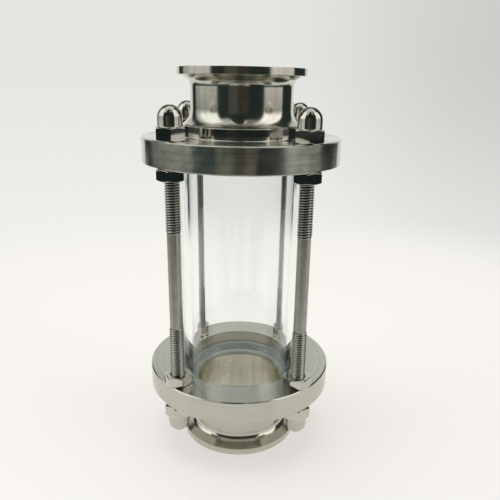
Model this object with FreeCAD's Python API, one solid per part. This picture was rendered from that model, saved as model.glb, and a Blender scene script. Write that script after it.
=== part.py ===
import FreeCAD, Part
import math
import os

# Straight sight glass for a sanitary pipe line, standing upright on its lower clamp ferrule.
# Millimetres. The origin is the centre of the lower sealing face and +Z runs up the flow axis.
# The two ends are alike: each is a ferrule welded to a flange, mirrored about the mid plane.

# Overall layout
TOTAL_HEIGHT = 200.0
FLANGE_GAP = 111.0
MID_PLANE = TOTAL_HEIGHT / 2
UPPER_INNER_FACE = MID_PLANE + FLANGE_GAP / 2
FLOW_RADIUS = 23.9

# Flange: a disc with a raised boss outside and a seat for the glass inside
FLANGE_RADIUS = 50.0
FLANGE_THICKNESS = 12.5
FLANGE_CHAMFER = 0.5
BOSS_RADIUS = 30.0
BOSS_HEIGHT = 5.5
BOSS_CHAMFER = 0.3
BOSS_ROOT_FILLET = 0.8
SEAT_RADIUS = 34.5
SEAT_DEPTH = 11.5
SEAT_CHAMFER = 0.3
STUD_CIRCLE_RADIUS = 44.0
STUD_HOLE_RADIUS = 4.5
STUD_COUNT = 4
FIRST_STUD_ANGLE = 225.0

# Ferrule: clamp rim, tapered underside, neck and flared foot
NECK_RADIUS = 25.5
RIM_RADIUS = 32.0
RIM_THICKNESS = 3.4
RIM_CHAMFER = 0.3
RIM_TAPER = math.radians(20.0)
RIM_FILLET = 2.5
SEAL_GROOVE_RADIUS = 28.25
SEAL_GROOVE_HALF_WIDTH = 1.9
SEAL_GROOVE_DEPTH = 1.6
FLARE_FOOT_RADIUS = 29.5
FLARE_RADIUS = 8.3
FLARE_HEIGHT = 7.5
FERRULE_FOOT = UPPER_INNER_FACE + FLANGE_THICKNESS + BOSS_HEIGHT

# Gasket: an L section, flat under the glass with a lip that centres it
GASKET_INNER_RADIUS = 24.2
GASKET_OUTER_RADIUS = 34.3
GASKET_THICKNESS = 2.0
GASKET_LIP_INNER_RADIUS = 32.2
GASKET_LIP_HEIGHT = 3.0

# Glass tube
GLASS_OUTER_RADIUS = 32.0
GLASS_INNER_RADIUS = 27.0
GLASS_CHAMFER = 0.5
GLASS_TOP = UPPER_INNER_FACE + SEAT_DEPTH - GASKET_THICKNESS

# Studs, threaded at both ends
THREAD_RADIUS = 3.9
THREAD_DEPTH = 0.77
THREAD_PITCH = 1.25
SHANK_RADIUS = 3.45
SHANK_LENGTH = 48.5
STUD_LENGTH = 156.4
STUD_END_CHAMFER = 0.8
EXPOSED_TURNS = 21
STUD_OFFSETS = [0.6, -0.4, 0.2, -0.2]

# Nuts
NUT_BORE_RADIUS = 4.0
ACROSS_FLATS = 12.8
HEX_NUT_HEIGHT = 5.4
CHAMFER_CIRCLE_RADIUS = 6.15
NUT_CHAMFER_ANGLE = math.radians(30.0)
CAP_HEX_HEIGHT = 6.2
CAP_HEIGHT = 15.8
DOME_RADIUS = 5.7
CAP_BORE_DEPTH = 11.5
DRILL_HALF_ANGLE = math.radians(59.0)

# How far each nut has been turned when tight, in degrees, in the order of the studs
UPPER_CAP_TURNS = [40.0, 29.0, 12.0, 51.0]
LOWER_CAP_TURNS = [21.0, 41.0, 8.0, 33.0]
UPPER_HEX_TURNS = [26.0, 27.0, 48.0, 5.0]
LOWER_HEX_TURNS = [55.0, 55.0, 18.0, 37.0]

Z_AXIS = FreeCAD.Vector(0, 0, 1)


def point(radius, height):
    """A point of a half section, in the XZ plane."""
    return FreeCAD.Vector(radius, 0, height)


def turned(*edges):
    """The solid swept by a closed half section about the Z axis."""
    face = Part.Face(Part.Wire(list(edges)))
    solid = face.revolve(FreeCAD.Vector(0, 0, 0), Z_AXIS, 360)
    return Part.makeSolid(solid) if solid.ShapeType == "Shell" else solid


def run(*points):
    """Straight edges through the given points."""
    return [Part.makeLine(a, b) for a, b in zip(points, points[1:])]


def arc(start, middle, end):
    return Part.Arc(start, middle, end).toShape()


def round_arc(centre_radius, centre_height, radius, start_angle, end_angle):
    """An arc of a half section, from its centre, radius and two angles in degrees."""
    angles = (start_angle, (start_angle + end_angle) / 2, end_angle)
    ends = [
        point(
            centre_radius + radius * math.cos(math.radians(angle)),
            centre_height + radius * math.sin(math.radians(angle)),
        )
        for angle in angles
    ]
    return arc(*ends), ends[0], ends[2]


def at_other_end(shape):
    """The same piece at the lower end."""
    return shape.mirror(FreeCAD.Vector(0, 0, MID_PLANE), Z_AXIS)


def stud_place(index):
    """The axis of one stud, as a point in the XY plane."""
    angle = math.radians(FIRST_STUD_ANGLE + index * 360.0 / STUD_COUNT)
    direction = FreeCAD.Vector(math.cos(angle), math.sin(angle), 0)
    return direction * STUD_CIRCLE_RADIUS


def make_flange():
    """The upper flange, with its glass seat, boss and stud holes."""
    inner = UPPER_INNER_FACE
    outer = inner + FLANGE_THICKNESS
    boss_top = outer + BOSS_HEIGHT
    fillet, fillet_start, fillet_end = round_arc(
        BOSS_RADIUS + BOSS_ROOT_FILLET, outer + BOSS_ROOT_FILLET, BOSS_ROOT_FILLET, 270, 180
    )
    disc_side = run(
        point(SEAT_RADIUS, inner + SEAT_DEPTH),
        point(SEAT_RADIUS, inner + SEAT_CHAMFER),
        point(SEAT_RADIUS + SEAT_CHAMFER, inner),
        point(FLANGE_RADIUS - FLANGE_CHAMFER, inner),
        point(FLANGE_RADIUS, inner + FLANGE_CHAMFER),
        point(FLANGE_RADIUS, outer - FLANGE_CHAMFER),
        point(FLANGE_RADIUS - FLANGE_CHAMFER, outer),
        fillet_start,
    )
    boss_side = run(
        fillet_end,
        point(BOSS_RADIUS, boss_top - BOSS_CHAMFER),
        point(BOSS_RADIUS - BOSS_CHAMFER, boss_top),
        point(FLOW_RADIUS, boss_top),
        point(FLOW_RADIUS, inner + SEAT_DEPTH),
        point(SEAT_RADIUS, inner + SEAT_DEPTH),
    )
    flange = turned(*disc_side, fillet, *boss_side)
    for index in range(STUD_COUNT):
        corner = stud_place(index) + FreeCAD.Vector(0, 0, inner)
        flange = flange.cut(Part.makeCylinder(STUD_HOLE_RADIUS, FLANGE_THICKNESS, corner, Z_AXIS))
    return flange


def make_ferrule():
    """The upper ferrule: flared foot, neck, tapered rim and a sealing face with its groove."""
    face = TOTAL_HEIGHT
    rim_edge = face - RIM_THICKNESS
    flare_top = FERRULE_FOOT + FLARE_HEIGHT
    flare_width = FLARE_FOOT_RADIUS - NECK_RADIUS
    flare_sweep = math.degrees(math.acos((FLARE_RADIUS - flare_width) / FLARE_RADIUS))
    flare, flare_start, flare_end = round_arc(
        NECK_RADIUS + FLARE_RADIUS, flare_top, FLARE_RADIUS, 180 + flare_sweep, 180
    )
    # The fillet touches the neck and the tapered underside of the rim.
    taper_height = rim_edge - (RIM_RADIUS - NECK_RADIUS - RIM_FILLET) * math.tan(RIM_TAPER)
    fillet_height = taper_height - RIM_FILLET / math.cos(RIM_TAPER)
    fillet, fillet_start, fillet_end = round_arc(
        NECK_RADIUS + RIM_FILLET, fillet_height, RIM_FILLET, 180, 90 + math.degrees(RIM_TAPER)
    )
    groove = arc(
        point(SEAL_GROOVE_RADIUS + SEAL_GROOVE_HALF_WIDTH, face),
        point(SEAL_GROOVE_RADIUS, face - SEAL_GROOVE_DEPTH),
        point(SEAL_GROOVE_RADIUS - SEAL_GROOVE_HALF_WIDTH, face),
    )
    foot = run(
        point(FLOW_RADIUS, FERRULE_FOOT),
        point(FLARE_FOOT_RADIUS, FERRULE_FOOT),
        flare_start,
    )
    neck = run(flare_end, fillet_start)
    rim = run(
        fillet_end,
        point(RIM_RADIUS, rim_edge),
        point(RIM_RADIUS, face - RIM_CHAMFER),
        point(RIM_RADIUS - RIM_CHAMFER, face),
        point(SEAL_GROOVE_RADIUS + SEAL_GROOVE_HALF_WIDTH, face),
    )
    bore = run(
        point(SEAL_GROOVE_RADIUS - SEAL_GROOVE_HALF_WIDTH, face),
        point(FLOW_RADIUS + RIM_CHAMFER, face),
        point(FLOW_RADIUS, face - RIM_CHAMFER),
        point(FLOW_RADIUS, FERRULE_FOOT),
    )
    return turned(*foot, flare, *neck, fillet, *rim, groove, *bore)


def make_gasket():
    """The upper gasket, lying on the floor of its seat with the lip around the glass."""
    floor = UPPER_INNER_FACE + SEAT_DEPTH
    seal = floor - GASKET_THICKNESS
    lip = seal - GASKET_LIP_HEIGHT
    return turned(
        *run(
            point(GASKET_INNER_RADIUS, floor),
            point(GASKET_OUTER_RADIUS, floor),
            point(GASKET_OUTER_RADIUS, lip),
            point(GASKET_LIP_INNER_RADIUS, lip),
            point(GASKET_LIP_INNER_RADIUS, seal),
            point(GASKET_INNER_RADIUS, seal),
            point(GASKET_INNER_RADIUS, floor),
        )
    )


def make_glass():
    """The glass tube, its end edges ground off."""
    bottom = TOTAL_HEIGHT - GLASS_TOP
    return turned(
        *run(
            point(GLASS_INNER_RADIUS, bottom + GLASS_CHAMFER),
            point(GLASS_INNER_RADIUS + GLASS_CHAMFER, bottom),
            point(GLASS_OUTER_RADIUS - GLASS_CHAMFER, bottom),
            point(GLASS_OUTER_RADIUS, bottom + GLASS_CHAMFER),
            point(GLASS_OUTER_RADIUS, GLASS_TOP - GLASS_CHAMFER),
            point(GLASS_OUTER_RADIUS - GLASS_CHAMFER, GLASS_TOP),
            point(GLASS_INNER_RADIUS + GLASS_CHAMFER, GLASS_TOP),
            point(GLASS_INNER_RADIUS, GLASS_TOP - GLASS_CHAMFER),
            point(GLASS_INNER_RADIUS, bottom + GLASS_CHAMFER),
        )
    )


def make_stud(index):
    """One stud: a plain shank between two threads, each ridged where it stands in the open."""
    half_shank = SHANK_LENGTH / 2
    half_length = STUD_LENGTH / 2
    ridges = [point(SHANK_RADIUS, half_shank)]
    for turn in range(EXPOSED_TURNS):
        start = half_shank + turn * THREAD_PITCH
        ridges.append(point(THREAD_RADIUS - THREAD_DEPTH, start + THREAD_PITCH / 4))
        ridges.append(point(THREAD_RADIUS, start + THREAD_PITCH * 3 / 4))
    upper_half = ridges + [
        point(THREAD_RADIUS, half_length - STUD_END_CHAMFER),
        point(THREAD_RADIUS - STUD_END_CHAMFER, half_length),
    ]
    lower_half = [point(p.x, -p.z) for p in reversed(upper_half)]
    bottom_centre = point(0, -half_length)
    top_centre = point(0, half_length)
    stud = turned(*run(bottom_centre, *lower_half, *upper_half, top_centre, bottom_centre))
    middle = FreeCAD.Vector(0, 0, MID_PLANE + STUD_OFFSETS[index])
    return stud.translated(stud_place(index) + middle)


def hexagon(height):
    """A hexagonal bar standing on the XY plane, its edges turned off at both ends."""
    corner = ACROSS_FLATS / math.sqrt(3)
    angles = [math.radians(60 * k) for k in range(7)]
    corners = [FreeCAD.Vector(corner * math.cos(a), corner * math.sin(a), 0) for a in angles]
    bar = Part.Face(Part.makePolygon(corners)).extrude(FreeCAD.Vector(0, 0, height))
    chamfer = (corner - CHAMFER_CIRCLE_RADIUS) * math.tan(NUT_CHAMFER_ANGLE)
    envelope = turned(
        *run(
            point(0, 0),
            point(CHAMFER_CIRCLE_RADIUS, 0),
            point(corner, chamfer),
            point(corner, height - chamfer),
            point(CHAMFER_CIRCLE_RADIUS, height),
            point(0, height),
            point(0, 0),
        )
    )
    return bar.common(envelope)


def make_hex_nut():
    """A plain hexagon nut standing on the XY plane."""
    bore = Part.makeCylinder(NUT_BORE_RADIUS, HEX_NUT_HEIGHT)
    return hexagon(HEX_NUT_HEIGHT).cut(bore)


def make_cap_nut():
    """A domed cap nut standing on the XY plane, drilled blind from below."""
    dome_centre = CAP_HEIGHT - DOME_RADIUS
    dome_curve, dome_start, dome_top = round_arc(0, dome_centre, DOME_RADIUS, 0, 90)
    dome = turned(*run(dome_top, point(0, 0), point(DOME_RADIUS, 0), dome_start), dome_curve)
    drill_tip = CAP_BORE_DEPTH + NUT_BORE_RADIUS / math.tan(DRILL_HALF_ANGLE)
    bore = turned(
        *run(
            point(0, 0),
            point(NUT_BORE_RADIUS, 0),
            point(NUT_BORE_RADIUS, CAP_BORE_DEPTH),
            point(0, drill_tip),
            point(0, 0),
        )
    )
    return hexagon(CAP_HEX_HEIGHT).fuse(dome).removeSplitter().cut(bore)


def place_nut(nut, index, height, turn, points_down):
    """A nut on its stud, seated at a height, upright or upside down."""
    placed = nut.copy()
    placed.rotate(FreeCAD.Vector(0, 0, 0), Z_AXIS, turn)
    if points_down:
        placed = placed.mirror(FreeCAD.Vector(0, 0, 0), Z_AXIS)
    return placed.translated(stud_place(index) + FreeCAD.Vector(0, 0, height))


def save(node, shape):
    """Writes one piece as its own STEP file."""
    solid = shape.Solids[0]
    assert len(shape.Solids) == 1 and solid.isValid() and solid.Volume > 0, node
    solid.exportStep("parts/" + node + ".step")
    print(node, round(solid.Volume, 1), "mm3")


os.makedirs("parts", exist_ok=True)

end_pieces = (
    ("flange", make_flange()),
    ("ferrule", make_ferrule()),
    ("gasket", make_gasket()),
)
for piece, shape in end_pieces:
    save("upper_" + piece, shape)
    save("lower_" + piece, at_other_end(shape))
save("glass_tube", make_glass())

cap_nut = make_cap_nut()
hex_nut = make_hex_nut()
lower_inner_face = TOTAL_HEIGHT - UPPER_INNER_FACE
upper_outer_face = UPPER_INNER_FACE + FLANGE_THICKNESS
lower_outer_face = lower_inner_face - FLANGE_THICKNESS
seated_nuts = (
    ("upper_cap_nut_", cap_nut, upper_outer_face, UPPER_CAP_TURNS, False),
    ("lower_cap_nut_", cap_nut, lower_outer_face, LOWER_CAP_TURNS, True),
    ("upper_hex_nut_", hex_nut, UPPER_INNER_FACE, UPPER_HEX_TURNS, True),
    ("lower_hex_nut_", hex_nut, lower_inner_face, LOWER_HEX_TURNS, False),
)
for index in range(STUD_COUNT):
    number = str(index + 1)
    save("stud_" + number, make_stud(index))
    for name, nut, height, turns, points_down in seated_nuts:
        save(name + number, place_nut(nut, index, height, turns[index], points_down))
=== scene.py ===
import math

import bmesh
import bpy
from mathutils import Matrix, Vector


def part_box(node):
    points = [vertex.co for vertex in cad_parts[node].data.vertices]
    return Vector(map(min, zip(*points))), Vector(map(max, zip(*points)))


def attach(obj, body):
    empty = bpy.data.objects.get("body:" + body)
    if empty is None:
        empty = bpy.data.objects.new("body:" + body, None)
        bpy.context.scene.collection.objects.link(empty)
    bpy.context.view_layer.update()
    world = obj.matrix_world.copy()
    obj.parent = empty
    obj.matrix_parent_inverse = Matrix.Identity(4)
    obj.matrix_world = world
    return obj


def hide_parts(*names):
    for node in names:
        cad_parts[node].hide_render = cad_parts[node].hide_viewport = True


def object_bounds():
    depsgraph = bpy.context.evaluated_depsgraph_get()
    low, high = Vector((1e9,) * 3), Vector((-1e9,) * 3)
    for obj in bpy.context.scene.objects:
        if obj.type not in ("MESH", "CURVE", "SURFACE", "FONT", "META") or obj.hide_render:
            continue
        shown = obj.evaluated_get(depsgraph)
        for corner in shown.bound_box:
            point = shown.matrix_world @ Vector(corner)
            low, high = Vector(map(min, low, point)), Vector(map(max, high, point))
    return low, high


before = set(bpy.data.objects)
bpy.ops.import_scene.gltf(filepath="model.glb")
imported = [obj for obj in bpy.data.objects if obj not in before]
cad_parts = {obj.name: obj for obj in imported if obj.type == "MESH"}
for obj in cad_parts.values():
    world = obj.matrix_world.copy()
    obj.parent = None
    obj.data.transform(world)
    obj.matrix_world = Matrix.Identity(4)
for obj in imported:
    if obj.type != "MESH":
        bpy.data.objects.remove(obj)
cad_low, cad_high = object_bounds()

# Straight sanitary sight glass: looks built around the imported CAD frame.
# Metres; profiles are written in millimetres, as (radius, height, corner radius).
MM = 0.001
STUD_NUMBERS = (1, 2, 3, 4)

# Heights of the faces, read from the frame
RIM_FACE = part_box("upper_ferrule")[1].z
FERRULE_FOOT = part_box("upper_ferrule")[0].z
INNER_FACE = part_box("upper_flange")[0].z
BOSS_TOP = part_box("upper_flange")[1].z
GLASS_LOW, GLASS_HIGH = (corner.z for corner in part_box("glass_tube"))
GASKET_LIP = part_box("upper_gasket")[0].z
SEAT_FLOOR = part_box("upper_gasket")[1].z
MID_PLANE = (cad_low.z + cad_high.z) / 2
FLANGE_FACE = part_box("upper_cap_nut_1")[0].z

# Radii in millimetres
FLANGE_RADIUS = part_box("upper_flange")[1].x / MM
RIM_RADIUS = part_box("upper_ferrule")[1].x / MM
GLASS_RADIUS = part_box("glass_tube")[1].x / MM
FLOW_RADIUS = 23.9
BOSS_RADIUS = 30.0
SEAT_RADIUS = 34.5
STUD_HOLE_RADIUS = 4.5
NECK_RADIUS = 25.5
FLARE_FOOT_RADIUS = 29.5
GROOVE_RADIUS = 28.25
GLASS_BORE_RADIUS = 27.0
GASKET_RADIUS = 34.3
GASKET_BORE_RADIUS = 24.2
GASKET_LIP_RADIUS = 32.2
NUT_BORE_RADIUS = 3.85

# Other sizes in millimetres, and the rim's taper in degrees
RIM_THICKNESS = 3.4
RIM_TAPER = 20.0
SEAL_THICKNESS = 2.0
CAP_NUT_HEX_HEIGHT = 6.2

# Steps round a lathed piece, a stud, a stud hole and a profile's corner
ROUND_STEPS = 256
STUD_STEPS = 48
HOLE_STEPS = 64
CORNER_STEPS = 5


# ---------------------------------------------------------------- meshes


def add_piece(name, mesh, body, slot, materials, *nodes):
    """Links a finished mesh as a piece that rides on a body and replaces its CAD nodes."""
    piece = bpy.data.objects.new(name, mesh)
    bpy.context.scene.collection.objects.link(piece)
    for material in materials:
        mesh.materials.append(material)
    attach(piece, body)
    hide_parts(*nodes)
    return piece


def smooth_mesh(mesh, sharp_degrees=32.0):
    """Smooth shading, apart from edges sharper than the angle."""
    mesh.polygons.foreach_set("use_smooth", [True] * len(mesh.polygons))
    mesh.set_sharp_from_angle(angle=math.radians(sharp_degrees))
    mesh.update()


def rounded(corners, support=0.12):
    """A closed profile in which each corner with a radius is an arc between two support points."""
    points = []
    count = len(corners)
    for index, (r, z, radius) in enumerate(corners):
        here = Vector((r, z))
        if radius <= 0:
            points.append(here)
            continue
        before = Vector(corners[index - 1][:2]) - here
        after = Vector(corners[(index + 1) % count][:2]) - here
        half = before.angle(after) / 2
        reach = radius / math.tan(half)
        reach = min(reach, before.length * 0.48, after.length * 0.48)
        radius = reach * math.tan(half)
        before_end = here + before.normalized() * reach
        after_end = here + after.normalized() * reach
        inward = (before.normalized() + after.normalized()).normalized()
        centre = here + inward * radius / math.sin(half)
        if before.length * 0.5 > reach + support:
            points.append(before_end + before.normalized() * support)
        first = before_end - centre
        sweep = first.angle_signed(after_end - centre)
        for step in range(CORNER_STEPS + 1):
            turn = Matrix.Rotation(-sweep * step / CORNER_STEPS, 2)
            points.append(centre + turn @ first)
        if after.length * 0.5 > reach + support:
            points.append(after_end + after.normalized() * support)
    return [(p.x, p.y) for p in points]


def round_vertex(shape, radius, angle, height):
    """A vertex at a radius and height in millimetres."""
    place = (radius * MM * math.cos(angle), radius * MM * math.sin(angle), height * MM)
    return shape.verts.new(place)


def lathe(name, profile, steps=ROUND_STEPS, flip=False, closed=True):
    """A profile of (radius, height) in millimetres, turned about Z; flip makes the lower end's."""
    shape = bmesh.new()
    rings = []
    for radius, height in profile:
        z = height * MM
        if flip:
            z = 2 * MID_PLANE - z
        if radius < 1e-6:
            rings.append([shape.verts.new((0, 0, z))] * steps)
            continue
        ring = []
        for step in range(steps):
            angle = 2 * math.pi * step / steps
            place = (radius * MM * math.cos(angle), radius * MM * math.sin(angle), z)
            ring.append(shape.verts.new(place))
        rings.append(ring)
    pairs = list(zip(rings, rings[1:]))
    if closed:
        pairs.append((rings[-1], rings[0]))
    for lower, upper in pairs:
        for step in range(steps):
            following = (step + 1) % steps
            corners = [lower[step], lower[following], upper[following], upper[step]]
            corners = [v for i, v in enumerate(corners) if v not in corners[:i]]
            if len(corners) > 2:
                shape.faces.new(corners)
    bmesh.ops.recalc_face_normals(shape, faces=shape.faces)
    mesh = bpy.data.meshes.new(name)
    shape.to_mesh(mesh)
    shape.free()
    smooth_mesh(mesh)
    return mesh


def arc_points(centre_r, centre_z, radius, start, end, steps):
    """Points (radius, height) along an arc given by its angles in degrees."""
    points = []
    for step in range(steps + 1):
        angle = math.radians(start + (end - start) * step / steps)
        points.append((centre_r + radius * math.cos(angle), centre_z + radius * math.sin(angle)))
    return points


def stud_axis(number):
    """The place of a stud's axis in the XY plane, from its CAD node."""
    low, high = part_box(f"stud_{number}")
    return Vector(((low.x + high.x) / 2, (low.y + high.y) / 2, 0))


def flange_mesh(name, flip):
    """A flange with boss, glass seat and four countersunk stud holes."""
    inner, outer, boss, seat = (z / MM for z in (INNER_FACE, FLANGE_FACE, BOSS_TOP, SEAT_FLOOR))
    edge, break_edge, soft = 0.5, 0.25, 0.08
    profile = rounded([
        (SEAT_RADIUS + break_edge, inner, soft),
        (FLANGE_RADIUS - edge, inner, soft),
        (FLANGE_RADIUS, inner + edge, soft),
        (FLANGE_RADIUS, outer - edge, soft),
        (FLANGE_RADIUS - edge, outer, soft),
        (BOSS_RADIUS, outer, 0.6),
        (BOSS_RADIUS, boss - break_edge, soft),
        (BOSS_RADIUS - break_edge, boss, soft),
        (FLOW_RADIUS, boss, soft),
        (FLOW_RADIUS, seat, 0.2),
        (SEAT_RADIUS, seat, 0.3),
        (SEAT_RADIUS, inner - break_edge, soft),
    ])
    mesh = lathe(name, profile, flip=flip)
    body = bpy.data.objects.new(name + "_bored", mesh)
    bpy.context.scene.collection.objects.link(body)
    depth, past = 0.4, 2
    sink = STUD_HOLE_RADIUS + depth
    cutter_profile = [
        (0, inner - past), (sink, inner - past), (sink, inner), (STUD_HOLE_RADIUS, inner + depth),
        (STUD_HOLE_RADIUS, outer - depth), (sink, outer), (sink, outer + past), (0, outer + past),
    ]
    cutters = []
    for number in STUD_NUMBERS:
        cutter_mesh = lathe(name + "_cut", cutter_profile, HOLE_STEPS, flip, False)
        cutter = bpy.data.objects.new(f"{name}_cutter_{number}", cutter_mesh)
        cutter.location = stud_axis(number)
        bpy.context.scene.collection.objects.link(cutter)
        cutters.append(cutter)
        bore = body.modifiers.new("bore", "BOOLEAN")
        bore.operation = "DIFFERENCE"
        bore.solver = "EXACT"
        bore.object = cutter
    bpy.context.view_layer.update()
    evaluated = body.evaluated_get(bpy.context.evaluated_depsgraph_get())
    bored = bpy.data.meshes.new_from_object(evaluated)
    bored.name = name
    bored.materials.clear()
    for spare in [body, *cutters]:
        bpy.data.objects.remove(spare)
    smooth_mesh(bored)
    # The boss is polished with the ferrule, and the flow bore is drawn
    turned, polished, drawn, margin = 0, 1, 2, 0.3
    side = -1 if flip else 1
    for face in bored.polygons:
        across = face.center.xy.length / MM
        above = (face.center.z - MID_PLANE) * side / MM + MID_PLANE / MM
        on_boss = across < BOSS_RADIUS + margin and above > outer + margin
        face.material_index = polished if on_boss else turned
        if across < FLOW_RADIUS + margin:
            face.material_index = drawn
    return bored


def ferrule_mesh(name, flip):
    """A clamp ferrule: flared foot, neck, tapered rim, and a sealing face with its groove."""
    foot, face = FERRULE_FOOT / MM, RIM_FACE / MM
    rim_edge = face - RIM_THICKNESS
    slope = math.tan(math.radians(RIM_TAPER))
    flare_radius, flare_height, fillet = 8.3, 7.5, 4.0
    flare_out = FLARE_FOOT_RADIUS - NECK_RADIUS
    sweep = math.degrees(math.acos((flare_radius - flare_out) / flare_radius))
    flare = arc_points(
        NECK_RADIUS + flare_radius, foot + flare_height, flare_radius, 180 + sweep, 180, 16
    )
    taper_z = rim_edge - (RIM_RADIUS - NECK_RADIUS - fillet) * slope
    fillet_z = taper_z - fillet / math.cos(math.radians(RIM_TAPER))
    neck_fillet = arc_points(NECK_RADIUS + fillet, fillet_z, fillet, 180, 90 + RIM_TAPER, 12)
    half_width, depth, land = 1.9, 1.6, 0.05
    bend = (half_width ** 2 + depth ** 2) / (2 * depth)
    reach = math.degrees(math.asin(half_width / bend))
    groove = arc_points(GROOVE_RADIUS, face - depth + bend, bend, -90 + reach, -90 - reach, 14)
    back = 3
    rim = rounded([
        (RIM_RADIUS - back, rim_edge - back * slope, 0),
        (RIM_RADIUS, rim_edge, 0.12),
        (RIM_RADIUS - 0.05, face, 0.2),
        (GROOVE_RADIUS + half_width + land, face, 0),
    ])[1:-1]
    bore = rounded([
        (GROOVE_RADIUS - half_width - land, face, 0),
        (FLOW_RADIUS, face, 0.35),
        (FLOW_RADIUS, foot, 0),
    ])[1:]
    support = 0.15
    neck_low, neck_high = foot + flare_height + support, neck_fillet[0][1] - support
    neck = [(NECK_RADIUS, neck_low), (NECK_RADIUS, neck_high)]
    profile = [(FLARE_FOOT_RADIUS, foot), *flare, *neck, *neck_fillet, *rim, *groove, *bore]
    return lathe(name, profile, flip=flip)


def gasket_mesh(name, flip):
    """An L-section seal: a flat ring under the glass with a lip round it."""
    floor, lip = SEAT_FLOOR / MM, GASKET_LIP / MM
    seal = floor - SEAL_THICKNESS
    return lathe(name, rounded([
        (GASKET_BORE_RADIUS, floor, 0.25),
        (GASKET_RADIUS, floor, 0.25),
        (GASKET_RADIUS, lip, 0.45),
        (GASKET_LIP_RADIUS, lip, 0.45),
        (GASKET_LIP_RADIUS, seal, 0.2),
        (GASKET_BORE_RADIUS, seal, 0.35),
    ]), flip=flip)


def glass_mesh(name):
    """The tube, its ground ends a hair off the seals so that no two faces lie in each other."""
    gap, edge = 0.04, 0.1
    low, high = GLASS_LOW / MM + gap, GLASS_HIGH / MM - gap
    return lathe(name, rounded([
        (GLASS_BORE_RADIUS, low, edge),
        (GLASS_RADIUS, low, edge),
        (GLASS_RADIUS, high, edge),
        (GLASS_BORE_RADIUS, high, edge),
    ]))


def stud_mesh(name, number):
    """A stud with a rolled helical thread at each end and a plain shank between."""
    low, high = (corner.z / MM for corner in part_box(f"stud_{number}"))
    middle = (low + high) / 2
    crest, core, shank, pitch = 3.70, 2.96, 3.28, 1.25
    half_shank, point, run_out = 48.5 / 2, 1.0, 1.4
    # One turn of thread, as (share of the pitch, share of the depth): root, flanks and a flat crest
    turn = (
        (0.0, 0.0), (0.08, 0.08), (0.4, 0.94), (0.46, 1.0), (0.58, 1.0), (0.64, 0.94), (0.92, 0.08)
    )
    angles = [2 * math.pi * step / STUD_STEPS for step in range(STUD_STEPS)]
    shape = bmesh.new()

    def radius_at(height, depth_share):
        """The thread's surface, fading into the shank and cut by the conical point."""
        inside = abs(height - middle) - half_shank
        fade = min(1.0, max(0.0, inside / run_out))
        fade = fade * fade * (3 - 2 * fade)
        threaded = core + (crest - core) * depth_share
        radius = shank + (threaded - shank) * fade
        tip = high - height if height > middle else height - low
        return min(radius, crest - point + max(0.0, tip))

    def ring_at(height, radius):
        return [round_vertex(shape, radius, angle, height) for angle in angles]

    def threaded_length(start, end):
        """Rows that climb the helix, held between the two end planes."""
        rows = []
        turns = int((end - start) / pitch) + 2
        for whole in range(-1, turns):
            for share, depth in turn:
                row = []
                for step, angle in enumerate(angles):
                    height = start + (whole + share + step / STUD_STEPS) * pitch
                    held = min(max(height, start), end)
                    radius = radius_at(held, depth if held == height else 0.5)
                    row.append(round_vertex(shape, radius, angle, held))
                rows.append(row)
        for lower, upper in zip(rows, rows[1:]):
            for step in range(STUD_STEPS - 1):
                shape.faces.new((lower[step], lower[step + 1], upper[step + 1], upper[step]))
        # Across the seam each row joins the row one turn higher
        lead = len(turn)
        for index in range(len(rows) - lead - 1):
            first, second = rows[index], rows[index + 1]
            seam, next_seam = rows[index + lead], rows[index + lead + 1]
            shape.faces.new((first[-1], seam[0], next_seam[0], second[-1]))

    threaded_length(low, middle - half_shank)
    threaded_length(middle + half_shank, high)
    bmesh.ops.remove_doubles(shape, verts=shape.verts, dist=2e-7)
    lower, upper = (ring_at(middle + end * half_shank, shank) for end in (-1, 1))
    for step in range(STUD_STEPS):
        following = (step + 1) % STUD_STEPS
        shape.faces.new((lower[step], lower[following], upper[following], upper[step]))
    for height in (low, high):
        shape.faces.new(ring_at(height, crest - point))
    bmesh.ops.remove_doubles(shape, verts=shape.verts, dist=2e-6)
    bmesh.ops.dissolve_degenerate(shape, edges=shape.edges, dist=1e-7)
    bmesh.ops.recalc_face_normals(shape, faces=shape.faces)
    mesh = bpy.data.meshes.new(name)
    shape.to_mesh(mesh)
    shape.free()
    # The first material is the plain shank's, the second the threads'
    for face in mesh.polygons:
        face.material_index = int(abs(face.center.z / MM - middle) > half_shank + 0.3)
    mesh.transform(Matrix.Translation(stud_axis(number)))
    smooth_mesh(mesh, 50.0)
    return mesh


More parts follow.
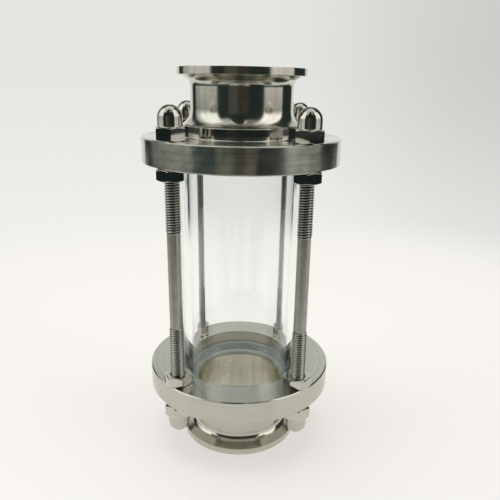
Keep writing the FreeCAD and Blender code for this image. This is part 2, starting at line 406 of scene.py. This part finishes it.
def nut_mesh(name, node, domed, points_down):
    """A hexagon nut, plain or with a dome, seated where its CAD node is and turned as it is."""
    low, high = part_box(node)
    height = (high.z - low.z) / MM
    centre = Vector(((low.x + high.x) / 2, (low.y + high.y) / 2, 0))
    flats, chamfer_circle, bore, lead_in = 6.4, 6.15, NUT_BORE_RADIUS, 0.55
    thread_end, drill_point = 11.5, 13.9
    hex_height = CAP_NUT_HEX_HEIGHT if domed else height
    slope = math.tan(math.radians(30.0))
    # The turn of the nut, from a corner vertex of the CAD mesh
    corner = max(
        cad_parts[node].data.vertices,
        key=lambda v: ((v.co - centre).xy.length, v.co.x, v.co.y),
    ).co - centre
    turned = math.atan2(corner.y, corner.x)
    per_flat = 12
    steps = 6 * per_flat
    shape = bmesh.new()
    columns = []
    for step in range(steps):
        share = (step % per_flat) / per_flat
        off = math.radians(-30 + 60 * share)
        hexagon = flats / math.cos(off)
        cut = max(0.0, hexagon - chamfer_circle) * slope
        column = [
            (bore, lead_in), (bore + lead_in, 0.0), (chamfer_circle, 0.0), (hexagon, cut),
            (hexagon, hex_height - cut), (chamfer_circle, hex_height),
        ]
        if domed:
            dome, fillet = 5.7, 0.35
            dome_centre = height - dome
            column += arc_points(dome + fillet, hex_height + fillet, fillet, 270, 180, 4)
            column += arc_points(0, dome_centre, dome, 0, 90, 18)[:-1]
            column = [(bore, thread_end)] + column
        else:
            column += [(bore + lead_in, hex_height), (bore, hex_height - lead_in)]
        angle = turned + 2 * math.pi * step / steps
        columns.append([round_vertex(shape, r, angle, z) for r, z in column])
    rows = len(columns[0])
    for step in range(steps):
        here, following = columns[step], columns[(step + 1) % steps]
        for row in range(rows - 1):
            shape.faces.new((here[row], following[row], following[row + 1], here[row + 1]))
        if not domed:
            shape.faces.new((here[-1], following[-1], following[0], here[0]))
    if domed:
        for row, z in ((rows - 1, height), (0, drill_point)):
            pole = shape.verts.new((0, 0, z * MM))
            for step in range(steps):
                shape.faces.new((columns[step][row], columns[(step + 1) % steps][row], pole))
    bmesh.ops.recalc_face_normals(shape, faces=shape.faces)
    # Each flat is one face, so that it is dead flat
    flat_faces = [f for f in shape.faces if abs(f.normal.z) < 1e-3 and min(
        math.hypot(v.co.x, v.co.y) for v in f.verts) > (flats - 0.02) * MM]
    # A list in the mesh's own order: a set's order would change from run to run
    inner_edges = [
        e for e in shape.edges if e.link_faces and all(g in flat_faces for g in e.link_faces)
    ]
    bmesh.ops.dissolve_limit(
        shape, angle_limit=math.radians(1.0), verts=[], edges=inner_edges
    )
    mesh = bpy.data.meshes.new(name)
    shape.to_mesh(mesh)
    shape.free()
    if points_down:
        mesh.transform(Matrix.Translation((0, 0, height * MM)) @ Matrix.Diagonal((1, 1, -1, 1)))
        mesh.flip_normals()
    mesh.transform(Matrix.Translation(centre + Vector((0, 0, low.z))))
    smooth_mesh(mesh, 28.0)
    return mesh


def soften_edges(piece, width=0.11):
    """Small bright bevels on a nut's edges."""
    bevel = piece.modifiers.new("edges", "BEVEL")
    bevel.width = width * MM
    bevel.segments = 3
    bevel.limit_method = "ANGLE"
    bevel.angle_limit = math.radians(34.0)
    bevel.harden_normals = True


# ---------------------------------------------------------------- materials


class Nodes:
    """A short way to write a node tree."""

    def __init__(self, owner):
        owner.use_nodes = True
        self.tree = owner.node_tree
        self.tree.nodes.clear()

    def add(self, kind, settings=None, **inputs):
        node = self.tree.nodes.new(kind)
        for key, value in (settings or {}).items():
            setattr(node, key, value)
        for key, value in inputs.items():
            self.feed(node.inputs[int(key[1:]) if key[0] == "_" else key.replace("_", " ")], value)
        return node

    def feed(self, socket, value):
        if isinstance(value, bpy.types.NodeSocket):
            self.tree.links.new(value, socket)
        elif value is not None:
            socket.default_value = value

    def math(self, operation, *values, clamp=False):
        node = self.add("ShaderNodeMath", {"operation": operation, "use_clamp": clamp})
        for index, value in enumerate(values):
            self.feed(node.inputs[index], value)
        return node.outputs[0]

    def ramp(self, value, low, high, to_low=0.0, to_high=1.0, kind="SMOOTHSTEP"):
        node = self.add("ShaderNodeMapRange", {"interpolation_type": kind})
        for index, entry in enumerate((value, low, high, to_low, to_high)):
            self.feed(node.inputs[index], entry)
        return node.outputs[0]

    def blend(self, factor, first, second):
        node = self.add("ShaderNodeMix", {"data_type": "RGBA"})
        self.feed(node.inputs["Factor"], factor)
        self.feed(node.inputs["A"], first)
        self.feed(node.inputs["B"], second)
        return node.outputs["Result"]

    def noise(self, vector, scale, detail=2.0, roughness=0.5, distortion=0.0):
        node = self.add("ShaderNodeTexNoise", None, Vector=vector, Scale=scale, Detail=detail,
                        Roughness=roughness, Distortion=distortion)
        return node.outputs["Fac"]

    def bump(self, height, strength, distance):
        node = self.add("ShaderNodeBump", None, Strength=strength, Distance=distance, Height=height)
        return node.outputs[0]

    def position(self):
        """Object coordinates, as a vector and as X, Y and Z."""
        place = self.add("ShaderNodeTexCoord").outputs["Object"]
        return place, self.add("ShaderNodeSeparateXYZ", None, _0=place).outputs

    def length(self, x, y):
        squares = self.math("ADD", self.math("MULTIPLY", x, x), self.math("MULTIPLY", y, y))
        return self.math("SQRT", squares)

    def mean(self, first, second, share):
        """The first value and the second, which has a share."""
        rest = self.math("MULTIPLY", first, round(1 - share, 6))
        return self.math("ADD", rest, self.math("MULTIPLY", second, share))

    def scaled(self, place, across, along):
        """A place with X and Y multiplied by one number and Z by another."""
        return self.vector(*(self.math("MULTIPLY", axis, factor)
                             for axis, factor in zip(place, (across, across, along))))

    def finish(self, surface, volume=None):
        out = self.add("ShaderNodeOutputMaterial")
        self.feed(out.inputs[0], surface)
        self.feed(out.inputs[1], volume)

    def vector(self, x, y, z):
        node = self.add("ShaderNodeCombineXYZ")
        for index, value in enumerate((x, y, z)):
            self.feed(node.inputs[index], value)
        return node.outputs[0]


def new_material(name):
    material = bpy.data.materials.new(name)
    return material, Nodes(material)


def turned_metal(name, color, tint, roughness, relief, anisotropy, drawn=0.0):
    """Stainless steel with concentric turning marks, as a lathe and a polishing belt leave it."""
    material, n = new_material(name)
    place, (x, y, z) = n.position()
    angle = n.math("ARCTAN2", y, x)
    # Marks run round the axis: they change with radius and height, and hardly with angle
    per_mm = 1000.0
    marks_at = n.vector(n.math("MULTIPLY", n.length(x, y), per_mm), n.math("MULTIPLY", z, per_mm),
                        n.math("MULTIPLY", angle, 0.35))
    coarse = n.noise(marks_at, 1.0, 1.0)
    fine = n.noise(marks_at, 2.3, 1.0)
    cloud = n.noise(place, 55.0, 3.0, 0.55)
    stain = n.noise(place, 210.0, 2.0, 0.6)
    base = n.blend(n.ramp(n.mean(coarse, fine, 0.55), 0.35, 0.65, kind="LINEAR"), tint, color)
    if drawn > 0:
        # A drawn bore has streaks along it
        streaks_at = n.vector(n.math("MULTIPLY", n.math("COSINE", angle), 6.0),
                              n.math("MULTIPLY", n.math("SINE", angle), 6.0),
                              n.math("MULTIPLY", z, 14.0))
        streaks = n.noise(streaks_at, 1.0, 2.0, 0.6)
        base = n.blend(n.ramp(streaks, 0.32, 0.68, 0.0, drawn), base, (0.30, 0.29, 0.24, 1))
    haze = n.ramp(n.mean(cloud, stain, 0.4), 0.35, 0.65)
    rough = n.math("ADD",
                   n.ramp(haze, 0.0, 1.0, roughness * 0.85, roughness * 1.2, "LINEAR"),
                   n.ramp(fine, 0.3, 0.7, roughness * -0.05, roughness * 0.1, "LINEAR"))
    bump = n.bump(n.mean(fine, coarse, 0.4), relief, 0.00006)
    # Highlights stretch across the marks
    around = n.add("ShaderNodeTangent", {"direction_type": "RADIAL", "axis": "Z"})
    shader = n.add("ShaderNodeBsdfPrincipled", None, Base_Color=base, Metallic=1.0, Roughness=rough,
                   Anisotropic=anisotropy, Anisotropic_Rotation=0.25, Normal=bump,
                   Tangent=around.outputs[0])
    n.finish(shader.outputs[0])
    return material


def polished_metal(name, color, tint, roughness, relief):
    """Buffed steel with faint wipe marks and fine scratches."""
    material, n = new_material(name)
    place, axes = n.position()
    cloud = n.noise(place, 160.0, 3.0, 0.55)
    lines = n.noise(n.scaled(axes, 260.0, 3200.0), 1.0, 2.0, 0.7, 0.25)
    specks = n.noise(place, 2400.0, 1.0)
    base = n.blend(n.ramp(cloud, 0.35, 0.65), tint, color)
    rough = n.math("ADD",
                   n.ramp(cloud, 0.3, 0.7, roughness * 0.7, roughness * 1.4, "LINEAR"),
                   n.ramp(lines, 0.55, 0.75, 0.0, roughness * 0.8))
    bump = n.bump(n.mean(lines, specks, 0.3), relief, 0.00003)
    shader = n.add("ShaderNodeBsdfPrincipled", None, Base_Color=base, Metallic=1.0, Roughness=rough,
                   Normal=bump)
    n.finish(shader.outputs[0])
    return material


def rolled_steel(name, color, tint, roughness, shaded_roots=False):
    """Drawn or thread-rolled steel: satin, with long draw marks and, on a thread, roots darkened by
    painted shade.
    """
    material, n = new_material(name)
    place, axes = n.position()
    draw = n.noise(n.scaled(axes, 1500.0, 45.0), 1.0, 3.0, 0.6)
    cloud = n.noise(place, 120.0, 3.0, 0.6)
    grime = n.noise(place, 900.0, 2.0, 0.6)
    base = n.blend(n.ramp(n.mean(draw, cloud, 0.4), 0.35, 0.65), tint, color)
    if shaded_roots:
        # The studs stand on the diagonals, so one distance serves all four
        from_centre = abs(stud_axis(1)[0])
        off_x, off_y = (
            n.math("SUBTRACT", n.math("ABSOLUTE", axis), from_centre) for axis in axes[:2]
        )
        # Painted shade: the thread roots are darkened to near black where shade falls between the
        # crests, and the crests keep the steel's colour
        at_crest = n.ramp(n.length(off_x, off_y), 0.00308, 0.00356)
        base = n.blend(at_crest, (0.045, 0.045, 0.038, 1), base)
    rough = n.math("ADD",
                   n.ramp(draw, 0.3, 0.7, roughness * 0.8, roughness * 1.25, "LINEAR"),
                   n.ramp(grime, 0.55, 0.75, 0.0, 0.05))
    bump = n.bump(n.mean(draw, grime, 0.3), 0.35, 0.00005)
    shader = n.add("ShaderNodeBsdfPrincipled", None, Base_Color=base, Metallic=1.0, Roughness=rough,
                   Normal=bump)
    n.finish(shader.outputs[0])
    return material


def seal_rubber(name):
    """Grey seal with a dusty bloom."""
    material, n = new_material(name)
    place, _ = n.position()
    bloom = n.noise(place, 90.0, 4.0, 0.6)
    grain = n.noise(place, 1300.0, 2.0, 0.6)
    base = n.blend(n.ramp(bloom, 0.35, 0.65), (0.34, 0.36, 0.345, 1), (0.40, 0.42, 0.40, 1))
    rough = n.ramp(grain, 0.3, 0.7, 0.38, 0.55, "LINEAR")
    shader = n.add("ShaderNodeBsdfPrincipled", None, Base_Color=base, Roughness=rough,
                   Normal=n.bump(grain, 0.25, 0.00006))
    n.finish(shader.outputs[0])
    return material


def clear_glass(name):
    """Clear glass: faint draw lines and dust, green only where it is looked along."""
    material, n = new_material(name)
    place, (x, y, z) = n.position()
    streaks_at = n.vector(n.math("MULTIPLY", n.math("ARCTAN2", y, x), 9.0),
                          n.math("MULTIPLY", z, 14.0), 0.0)
    streaks = n.noise(streaks_at, 1.0)
    rough = n.ramp(n.noise(place, 480.0, 4.0, 0.7), 0.55, 0.8, 0.0, 0.03, "LINEAR")
    shader = n.add("ShaderNodeBsdfPrincipled", None, Base_Color=(1, 1, 1, 1), Roughness=rough,
                   IOR=1.48, Transmission_Weight=1.0, Normal=n.bump(streaks, 0.12, 0.00008))
    # Shadows and soft light pass straight through
    clear = n.add("ShaderNodeBsdfTransparent", None, Color=(0.93, 0.96, 0.95, 1))
    rays = n.add("ShaderNodeLightPath").outputs
    soft = n.math("MAXIMUM", rays["Is Shadow Ray"], rays["Is Diffuse Ray"])
    mix = n.add("ShaderNodeMixShader", None, _0=soft, _1=shader.outputs[0], _2=clear.outputs[0])
    absorb = n.add("ShaderNodeVolumeAbsorption", None, Color=(0.70, 0.93, 0.88, 1), Density=5.0)
    n.finish(mix.outputs[0], absorb.outputs[0])
    return material


# Colour, colour between the marks, roughness, relief, anisotropy and strength of the streaks
flange_steel = turned_metal(
    "turned_steel", (0.55, 0.55, 0.49, 1), (0.475, 0.475, 0.42, 1), 0.20, 0.07, 0.88)
bore_steel = turned_metal(
    "honed_bore", (0.80, 0.77, 0.65, 1), (0.72, 0.69, 0.58, 1), 0.30, 0.08, 0.85, 0.30)
boss_steel = turned_metal(
    "polished_boss", (0.58, 0.575, 0.51, 1), (0.53, 0.52, 0.46, 1), 0.07, 0.05, 0.6)
ferrule_steel = turned_metal(
    "buffed_steel", (0.60, 0.59, 0.52, 1), (0.56, 0.55, 0.48, 1), 0.14, 0.05, 0.86)
nut_steel = polished_metal(
    "bright_steel", (0.56, 0.55, 0.495, 1), (0.49, 0.48, 0.43, 1), 0.06, 0.12)
stud_steel = rolled_steel(
    "rolled_steel", (0.38, 0.38, 0.335, 1), (0.27, 0.27, 0.24, 1), 0.30)
thread_steel = rolled_steel(
    "thread_steel", (0.54, 0.54, 0.485, 1), (0.43, 0.43, 0.385, 1), 0.27, True)
seal = seal_rubber("seal_rubber")
glass = clear_glass("clear_glass")


# ---------------------------------------------------------------- pieces

for end, flip, body in (("upper", False, "top_end"), ("lower", True, "lower_assembly")):
    name = f"{end}_flange_turned"
    add_piece(name, flange_mesh(name, flip), body, "flange_steel",
              [flange_steel, boss_steel, bore_steel], f"{end}_flange")
    name = f"{end}_ferrule_polished"
    ferrule = add_piece(name, ferrule_mesh(name, flip), body, "ferrule_steel",
                        [ferrule_steel, bore_steel], f"{end}_ferrule")
    # The second material is the bore's
    for face in ferrule.data.polygons:
        face.material_index = int(face.center.xy.length < (FLOW_RADIUS + 0.1) * MM)
    name = f"{end}_gasket_ring"
    add_piece(name, gasket_mesh(name, flip), body, "gasket", [seal], f"{end}_gasket")
add_piece("glass_tube_clear", glass_mesh("glass_tube_clear"), "lower_assembly", "glass", [glass],
          "glass_tube")

for number in STUD_NUMBERS:
    name = f"stud_rolled_{number}"
    add_piece(name, stud_mesh(name, number), "lower_assembly", "stud_steel",
              [stud_steel, thread_steel], f"stud_{number}")
    for kind, body, domed, points_down in (
        ("upper_cap_nut", f"cap_nut_{number}", True, False),
        ("lower_cap_nut", "lower_assembly", True, True),
        ("upper_hex_nut", "lower_assembly", False, True),
        ("lower_hex_nut", "lower_assembly", False, False),
    ):
        node = f"{kind}_{number}"
        name = f"{kind}_bright_{number}"
        nut = add_piece(name, nut_mesh(name, node, domed, points_down), body, "nut_steel",
                        [nut_steel], node)
        soften_edges(nut)


# ---------------------------------------------------------------- floor and light


# Radii of the floor's rings, in metres
FLOOR_RINGS = (0.1, 0.2, 0.35, 0.55, 0.8, 1.2)
FLOOR_STEPS = 96

# What the bright metal mirrors, as patches of the surround. Each is its azimuth from, to and
# softness, its elevation from, to and softness, and its colour. Degrees; azimuth 0 is straight
# ahead of the object, positive to its right.
LEFT_PANEL = (-119, -54, 4.0, -3, 60, 3.0)
RIGHT_PANEL = (50, 99.5, 3.0, -3, 60, 3.0)
FRONT_PATCHES = (
    # Light high up in the dark front
    (-57, -30, 2.0, 42, 76, 4.0, (0.60, 0.60, 0.58, 1)),
    (17, 50, 2.0, 46, 76, 4.0, (0.26, 0.26, 0.25, 1)),
    # Someone at the camera: dark above, an olive strip and a brown one below
    (-29, 12, 2.0, 50, 80, 4.0, (0.035, 0.038, 0.036, 1)),
    (-28, -6, 2.0, -8, 16, 4.0, (0.088, 0.090, 0.074, 1)),
    (-6, 12, 2.0, -8, 16, 4.0, (0.054, 0.045, 0.036, 1)),
    # Light on both sides of them
    (-35, -29, 1.5, 54, 84, 4.0, (1.15, 1.17, 1.16, 1)),
    (11, 17, 1.5, 54, 84, 4.0, (0.95, 0.98, 0.98, 1)),
)
# The table mirrors the same things
TABLE_PATCHES = (
    (-118, -57, 5.0, -36, -13, 3.0, (0.15, 0.225, 0.215, 1)),
    (-55, -29, 2.0, -36, -14, 3.0, (0.085, 0.155, 0.15, 1)),
    (-27, -7, 1.5, -36, -14, 3.0, (0.52, 0.54, 0.43, 1)),
    (-7, 6, 1.5, -36, -14, 3.0, (0.24, 0.22, 0.19, 1)),
    (6, 18, 1.5, -36, -14, 3.0, (0.60, 0.48, 0.41, 1)),
    (50, 92, 4.0, -36, -14, 3.0, (0.31, 0.37, 0.36, 1)),
)


def floor_mesh():
    """A disc of rings round the object."""
    shape = bmesh.new()
    previous = [shape.verts.new((0, 0, 0))] * FLOOR_STEPS
    for radius in FLOOR_RINGS:
        ring = []
        for step in range(FLOOR_STEPS):
            angle = 2 * math.pi * step / FLOOR_STEPS
            ring.append(shape.verts.new((radius * math.cos(angle), radius * math.sin(angle), 0)))
        for step in range(FLOOR_STEPS):
            following = (step + 1) % FLOOR_STEPS
            corners = [previous[step], ring[step], ring[following], previous[following]]
            shape.faces.new([v for i, v in enumerate(corners) if v not in corners[:i]])
        previous = ring
    mesh = bpy.data.meshes.new("floor")
    bmesh.ops.recalc_face_normals(shape, faces=shape.faces)
    shape.to_mesh(mesh)
    shape.free()
    return mesh


def floor_paper():
    """Pale paper that ends behind and at the sides, and sooner in front, where the table begins."""
    material, n = new_material("floor_paper")
    place, (x, y, _) = n.position()
    fibre = n.noise(place, 700.0, 3.0, 0.6)
    paper = n.blend(n.ramp(fibre, 0.3, 0.7), (0.39, 0.38, 0.365, 1), (0.41, 0.40, 0.385, 1))
    shader = n.add("ShaderNodeBsdfPrincipled", None, Base_Color=paper, Roughness=0.85,
                   Normal=n.bump(fibre, 0.05, 0.0002), Emission_Color=(1.0, 0.975, 0.94, 1),
                   Emission_Strength=0.56)
    gone = n.add("ShaderNodeBsdfTransparent")
    fade = n.math("MAXIMUM", n.ramp(n.length(x, y), 0.36, 0.62), n.ramp(y, -0.13, -0.34))
    mix = n.add("ShaderNodeMixShader", None, _0=fade, _1=shader.outputs[0], _2=gone.outputs[0])
    n.finish(mix.outputs[0])
    return material


def make_floor():
    floor = bpy.data.objects.new("floor", floor_mesh())
    # A hair under the part, so that no two faces lie in each other
    floor.location.z = cad_low.z - 0.00002
    bpy.context.scene.collection.objects.link(floor)
    floor.data.materials.append(floor_paper())


def mirrored_room(n, azimuth, elevation):
    """The room that the bright metal mirrors: soft panels, a dark front and a white backdrop."""
    side = n.math("ABSOLUTE", azimuth)

    def window(value, low, high, soft):
        rise = n.ramp(value, low - soft, low + soft)
        return n.math("MULTIPLY", rise, n.ramp(value, high - soft, high + soft, 1.0, 0.0))

    def patch(az_low, az_high, az_soft, el_low, el_high, el_soft):
        return n.math("MULTIPLY", window(azimuth, az_low, az_high, az_soft),
                      window(elevation, el_low, el_high, el_soft))

    # The panels are brighter higher up, and folds in them run up and down
    higher = n.ramp(elevation, 6.0, 15.0)
    left = n.blend(higher, (0.88, 0.88, 0.85, 1), (1.85, 1.85, 1.79, 1))
    right = n.blend(higher, (0.94, 0.90, 0.88, 1), (1.80, 1.75, 1.70, 1))
    folds_at = n.vector(n.math("MULTIPLY", azimuth, 0.11), 0.0, 0.0)
    folds = n.ramp(n.noise(folds_at, 1.0, 3.0, 0.6), 0.32, 0.68)
    left = n.blend(n.math("MULTIPLY", folds, 0.45), left, (0.30, 0.285, 0.26, 1))
    right = n.blend(n.math("MULTIPLY", folds, 0.35), right, (0.36, 0.30, 0.28, 1))
    # The left one fades towards its far end
    left = n.blend(n.ramp(azimuth, -94.0, -118.0), left, (0.50, 0.50, 0.48, 1))

    # A dark room with a pale ceiling
    light = n.blend(n.ramp(elevation, 57.0, 65.0), (0.026, 0.036, 0.036, 1), (0.95, 0.96, 0.94, 1))
    light = n.blend(patch(*LEFT_PANEL), light, left)
    light = n.blend(patch(*RIGHT_PANEL), light, right)
    for *extent, color in FRONT_PATCHES:
        light = n.blend(patch(*extent), light, color)

    # White backdrop behind, brighter straight behind the tube
    edge = n.math("MAXIMUM", n.ramp(azimuth, -134.0, -140.0), n.ramp(azimuth, 137.0, 143.0))
    behind = n.math("MULTIPLY", edge, window(elevation, -40.0, 33.0, 5.0))
    backdrop = n.blend(n.ramp(elevation, 8.0, 22.0), (0.86, 0.87, 0.85, 1), (0.68, 0.69, 0.67, 1))
    light = n.blend(behind, light, backdrop)
    middle = n.math("MULTIPLY", n.ramp(side, 160.0, 172.0), window(elevation, 14.0, 40.0, 6.0))
    light = n.blend(middle, light, (0.84, 0.85, 0.82, 1))

    # Dark table beyond the paper
    table = n.math("MULTIPLY", n.ramp(elevation, -5.5, -2.0, 1.0, 0.0),
                   n.ramp(side, 130.0, 137.0, 1.0, 0.0))
    light = n.blend(table, light, (0.015, 0.023, 0.023, 1))
    for *extent, color in TABLE_PATCHES:
        light = n.blend(patch(*extent), light, color)
    # Paper at the sides and behind
    beside = n.math("MULTIPLY", n.ramp(elevation, -21.0, -17.0, 1.0, 0.0),
                    n.ramp(side, 98.0, 106.0))
    light = n.blend(beside, light, (0.60, 0.595, 0.57, 1))
    beyond = n.math("MULTIPLY", n.ramp(elevation, -11.5, -9.0, 1.0, 0.0),
                    n.ramp(side, 127.0, 132.0))
    return n.blend(beyond, light, (0.86, 0.85, 0.82, 1))


def make_studio():
    """The surround: a room for the metal to mirror, and a plain pale backdrop for the camera."""
    world = bpy.data.worlds.new("studio")
    bpy.context.scene.world = world
    n = Nodes(world)
    direction = n.add("ShaderNodeTexCoord").outputs["Generated"]
    x, y, z = n.add("ShaderNodeSeparateXYZ", None, _0=direction).outputs
    degrees = 180 / math.pi
    azimuth = n.math("MULTIPLY", n.math("ARCTAN2", x, n.math("MULTIPLY", y, -1.0)), degrees)
    elevation = n.math("MULTIPLY", n.math("ARCSINE", z), degrees)
    room = mirrored_room(n, azimuth, elevation)

    # The backdrop is dimmer higher up and to the right
    to_right = n.ramp(x, -0.02, 0.44)
    upper = n.blend(to_right, (0.785, 0.785, 0.76, 1), (0.60, 0.60, 0.585, 1))
    lower = n.blend(to_right, (0.885, 0.88, 0.85, 1), (0.79, 0.785, 0.76, 1))
    plain = n.blend(n.ramp(elevation, -20.0, 4.0), lower, upper)
    # It is seen directly, or through the glass after nothing but transmissions. The world counts
    # one more bounce than the ray has made.
    rays = n.add("ShaderNodeLightPath").outputs
    bounced = n.math("SUBTRACT", rays["Ray Depth"], rays["Transmission Depth"])
    through = n.math("MULTIPLY", rays["Is Transmission Ray"], n.math("LESS_THAN", bounced, 1.5))
    # The walls of the tube turn some of that sideways, where the room is dimmer
    sideways = n.math("MULTIPLY", through, n.ramp(n.math("ABSOLUTE", x), 0.55, 0.80))
    plain = n.blend(sideways, plain, (0.50, 0.51, 0.50, 1))
    seen = n.math("MAXIMUM", rays["Is Camera Ray"], through)
    color = n.blend(seen, room, plain)
    surround = n.add("ShaderNodeBackground", None, Color=color, Strength=1.0)
    out = n.add("ShaderNodeOutputWorld")
    n.feed(out.inputs[0], surround.outputs[0])


def make_lamp():
    """A soft square lamp above, for the paper and the seals."""
    lamp = bpy.data.lights.new("soft_top", "AREA")
    lamp.shape = "RECTANGLE"
    lamp.size = lamp.size_y = 0.5
    lamp.energy = 2.4
    lamp.color = (1.0, 0.99, 0.97)
    holder = bpy.data.objects.new("soft_top", lamp)
    place, target = Vector((-0.05, 0.05, 0.75)), Vector((0, 0, 0.05))
    holder.location = place
    holder.rotation_euler = (target - place).to_track_quat("-Z", "Y").to_euler()
    # The steel mirrors the room alone
    holder.visible_glossy = False
    bpy.context.scene.collection.objects.link(holder)


def make_camera():
    """The camera, placed by its azimuth round the object, its distance and its height."""
    camera = bpy.data.cameras.new("camera")
    camera.sensor_width = 36.0
    camera.lens = 38.51
    camera.shift_x = -0.0076
    camera.shift_y = 0.0364
    camera.clip_start = 0.01
    camera.clip_end = 20.0
    holder = bpy.data.objects.new("camera", camera)
    azimuth, distance, height = math.radians(1.56), 0.2767, 0.1926
    yaw, pitch, roll = math.radians(-0.05), math.radians(18.97), math.radians(1.05)
    level = math.cos(pitch)
    forward = Vector((math.sin(yaw) * level, math.cos(yaw) * level, -math.sin(pitch)))
    aim = forward.to_track_quat("-Z", "Y")
    holder.rotation_mode = "QUATERNION"
    holder.rotation_quaternion = aim @ Matrix.Rotation(roll, 4, "Z").to_quaternion()
    holder.location = (math.sin(azimuth) * distance, -math.cos(azimuth) * distance, height)
    bpy.context.scene.collection.objects.link(holder)
    bpy.context.scene.camera = holder


make_floor()
make_studio()
make_lamp()
make_camera()
scene = bpy.context.scene
scene.view_settings.view_transform = "Standard"
scene.view_settings.look = "None"
scene.cycles.caustics_refractive = False
scene.cycles.caustics_reflective = True
scene.cycles.max_bounces = 16
scene.cycles.transmission_bounces = 12
scene.cycles.glossy_bounces = 8
